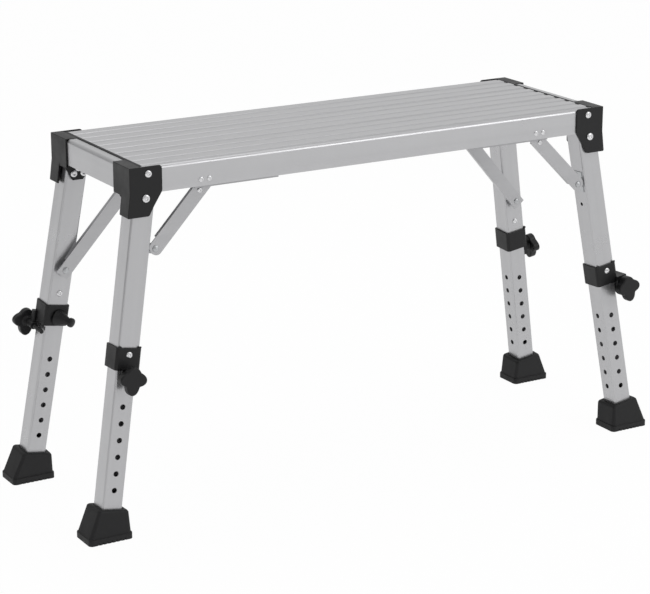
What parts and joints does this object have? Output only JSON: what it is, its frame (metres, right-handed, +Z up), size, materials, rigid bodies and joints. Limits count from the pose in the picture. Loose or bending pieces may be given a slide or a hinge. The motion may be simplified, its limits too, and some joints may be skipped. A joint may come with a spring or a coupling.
{
  "type": "adjustable work platform",
  "caption": "Aluminium work platform: ribbed deck on telescopic legs that fold under it, with braces, clamp knobs and moulded feet.",
  "frame": {"origin": "on the floor, under the middle of the deck", "axes": "+X along the deck, +Y to the rear, +Z up"},
  "size_m": [1.2204, 0.4144, 0.656],
  "materials": {
    "deck_aluminium": "ribbed mill finish",
    "rail_aluminium": "satin anodised",
    "outer_tube_aluminium": "satin anodised",
    "inner_tube_aluminium": "satin anodised",
    "brace_aluminium": "pressed sheet, mill finish",
    "zinc_steel": "zinc plated",
    "rivet_steel": "bright zinc",
    "black_plastic": "fine satin texture",
    "foot_rubber": "matte",
    "seal_rubber": "matte"
  },
  "bodies": {
    "deck": {"deck_plank_front": "deck_aluminium", "deck_plank_middle": "deck_aluminium", "deck_plank_rear": "deck_aluminium", "front_rail": "rail_aluminium", "rear_rail": "rail_aluminium", "left_end_rail": "rail_aluminium", "right_end_rail": "rail_aluminium", "left_gap_seal": "seal_rubber", "right_gap_seal": "seal_rubber", "cross_bar_left": "outer_tube_aluminium", "cross_bar_middle": "outer_tube_aluminium", "cross_bar_right": "outer_tube_aluminium", "corner_bracket_fl": "black_plastic", "corner_bracket_fr": "black_plastic", "corner_bracket_bl": "black_plastic", "corner_bracket_br": "black_plastic", "bracket_rivets": "rivet_steel", "leg_pivot_pins": "rivet_steel", "guide_rivets": "rivet_steel", "brace_guide_fl": "zinc_steel", "brace_guide_fr": "zinc_steel", "brace_guide_bl": "zinc_steel", "brace_guide_br": "zinc_steel"},
    "leg_fl": {"outer_tube_fl": "outer_tube_aluminium", "collar_fl": "black_plastic", "tube_rivets_fl": "rivet_steel", "brace_lug_fl": "zinc_steel"},
    "lower_leg_fl": {"inner_tube_fl": "inner_tube_aluminium", "foot_fl": "foot_rubber"},
    "knob_fl": {"star_knob_fl": "black_plastic"},
    "brace_fl": {"brace_fl": "brace_aluminium", "slider_pin_fl": "black_plastic"},
    "leg_fr": {"outer_tube_fr": "outer_tube_aluminium", "collar_fr": "black_plastic", "tube_rivets_fr": "rivet_steel", "brace_lug_fr": "zinc_steel"},
    "lower_leg_fr": {"inner_tube_fr": "inner_tube_aluminium", "foot_fr": "foot_rubber"},
    "knob_fr": {"star_knob_fr": "black_plastic"},
    "brace_fr": {"brace_fr": "brace_aluminium", "slider_pin_fr": "black_plastic"},
    "leg_bl": {"outer_tube_bl": "outer_tube_aluminium", "collar_bl": "black_plastic", "tube_rivets_bl": "rivet_steel", "brace_stud_bl": "zinc_steel"},
    "lower_leg_bl": {"inner_tube_bl": "inner_tube_aluminium", "foot_bl": "foot_rubber"},
    "knob_bl": {"star_knob_bl": "black_plastic"},
    "brace_bl": {"brace_bl": "brace_aluminium", "slider_pin_bl": "black_plastic"},
    "leg_br": {"outer_tube_br": "outer_tube_aluminium", "collar_br": "black_plastic", "tube_rivets_br": "rivet_steel", "brace_stud_br": "zinc_steel"},
    "lower_leg_br": {"inner_tube_br": "inner_tube_aluminium", "foot_br": "foot_rubber"},
    "knob_br": {"star_knob_br": "black_plastic"},
    "brace_br": {"brace_br": "brace_aluminium", "slider_pin_br": "black_plastic"}
  },
  "joints": [
    {"name": "leg_fold_fl", "type": "hinge", "parent": "deck", "child": "leg_fl", "pos_m": [-0.47, -0.137, 0.599], "axis": [0, -0.9986, 0.0523], "range_deg": [0, 88]},
    {"name": "leg_slide_fl", "type": "slide", "parent": "leg_fl", "child": "lower_leg_fl", "axis": [0.1616, 0.0516, 0.9855], "range_m": [0, 0.18]},
    {"name": "knob_turn_fl", "type": "hinge", "parent": "leg_fl", "child": "knob_fl", "pos_m": [-0.52042, -0.19805, 0.29388], "axis": [0, -0.9986, 0.0523], "continuous": true},
    {"name": "brace_swing_fl", "type": "hinge", "parent": "leg_fl", "child": "brace_fl", "pos_m": [-0.45067, -0.14183, 0.50679], "axis": [0, 0.9986, -0.0523], "range_deg": [0, 133.02]},
    {"name": "leg_fold_fr", "type": "hinge", "parent": "deck", "child": "leg_fr", "pos_m": [0.47, -0.137, 0.599], "axis": [0, 0.9986, -0.0523], "range_deg": [0, 88]},
    {"name": "leg_slide_fr", "type": "slide", "parent": "leg_fr", "child": "lower_leg_fr", "axis": [-0.1616, 0.0516, 0.9855], "range_m": [0, 0.18]},
    {"name": "knob_turn_fr", "type": "hinge", "parent": "leg_fr", "child": "knob_fr", "pos_m": [0.54805, -0.19782, 0.2984], "axis": [0, -0.9986, 0.0523], "continuous": true},
    {"name": "brace_swing_fr", "type": "hinge", "parent": "leg_fr", "child": "brace_fr", "pos_m": [0.45067, -0.14183, 0.50679], "axis": [0, -0.9986, 0.0523], "range_deg": [0, 133.02]},
    {"name": "leg_fold_bl", "type": "hinge", "parent": "deck", "child": "leg_bl", "pos_m": [-0.47, 0.137, 0.599], "axis": [0, -0.9986, -0.0523], "range_deg": [0, 88]},
    {"name": "leg_slide_bl", "type": "slide", "parent": "leg_bl", "child": "lower_leg_bl", "axis": [0.1616, -0.0516, 0.9855], "range_m": [0, 0.18]},
    {"name": "knob_turn_bl", "type": "hinge", "parent": "leg_bl", "child": "knob_bl", "pos_m": [-0.54805, 0.19782, 0.2984], "axis": [0, 0.9986, 0.0523], "continuous": true},
    {"name": "brace_swing_bl", "type": "hinge", "parent": "leg_bl", "child": "brace_bl", "pos_m": [-0.50111, 0.14694, 0.40929], "axis": [0, 0.9986, 0.0523], "range_deg": [0, 126.38]},
    {"name": "leg_fold_br", "type": "hinge", "parent": "deck", "child": "leg_br", "pos_m": [0.47, 0.137, 0.599], "axis": [0, 0.9986, 0.0523], "range_deg": [0, 88]},
    {"name": "leg_slide_br", "type": "slide", "parent": "leg_br", "child": "lower_leg_br", "axis": [-0.1616, -0.0516, 0.9855], "range_m": [0, 0.18]},
    {"name": "knob_turn_br", "type": "hinge", "parent": "leg_br", "child": "knob_br", "pos_m": [0.56483, 0.15273, 0.29879], "axis": [0.9869, -0.0085, 0.1614], "continuous": true},
    {"name": "brace_swing_br", "type": "hinge", "parent": "leg_br", "child": "brace_br", "pos_m": [0.50111, 0.14694, 0.40929], "axis": [0, -0.9986, -0.0523], "range_deg": [0, 126.38]}
  ],
  "couplings": [
    {"joint": "brace_swing_fl", "follows": "leg_fold_fl", "ratio": 1.5115},
    {"joint": "brace_swing_fr", "follows": "leg_fold_fr", "ratio": 1.5115},
    {"joint": "brace_swing_bl", "follows": "leg_fold_bl", "ratio": 1.436},
    {"joint": "brace_swing_br", "follows": "leg_fold_br", "ratio": 1.436}
  ]
}
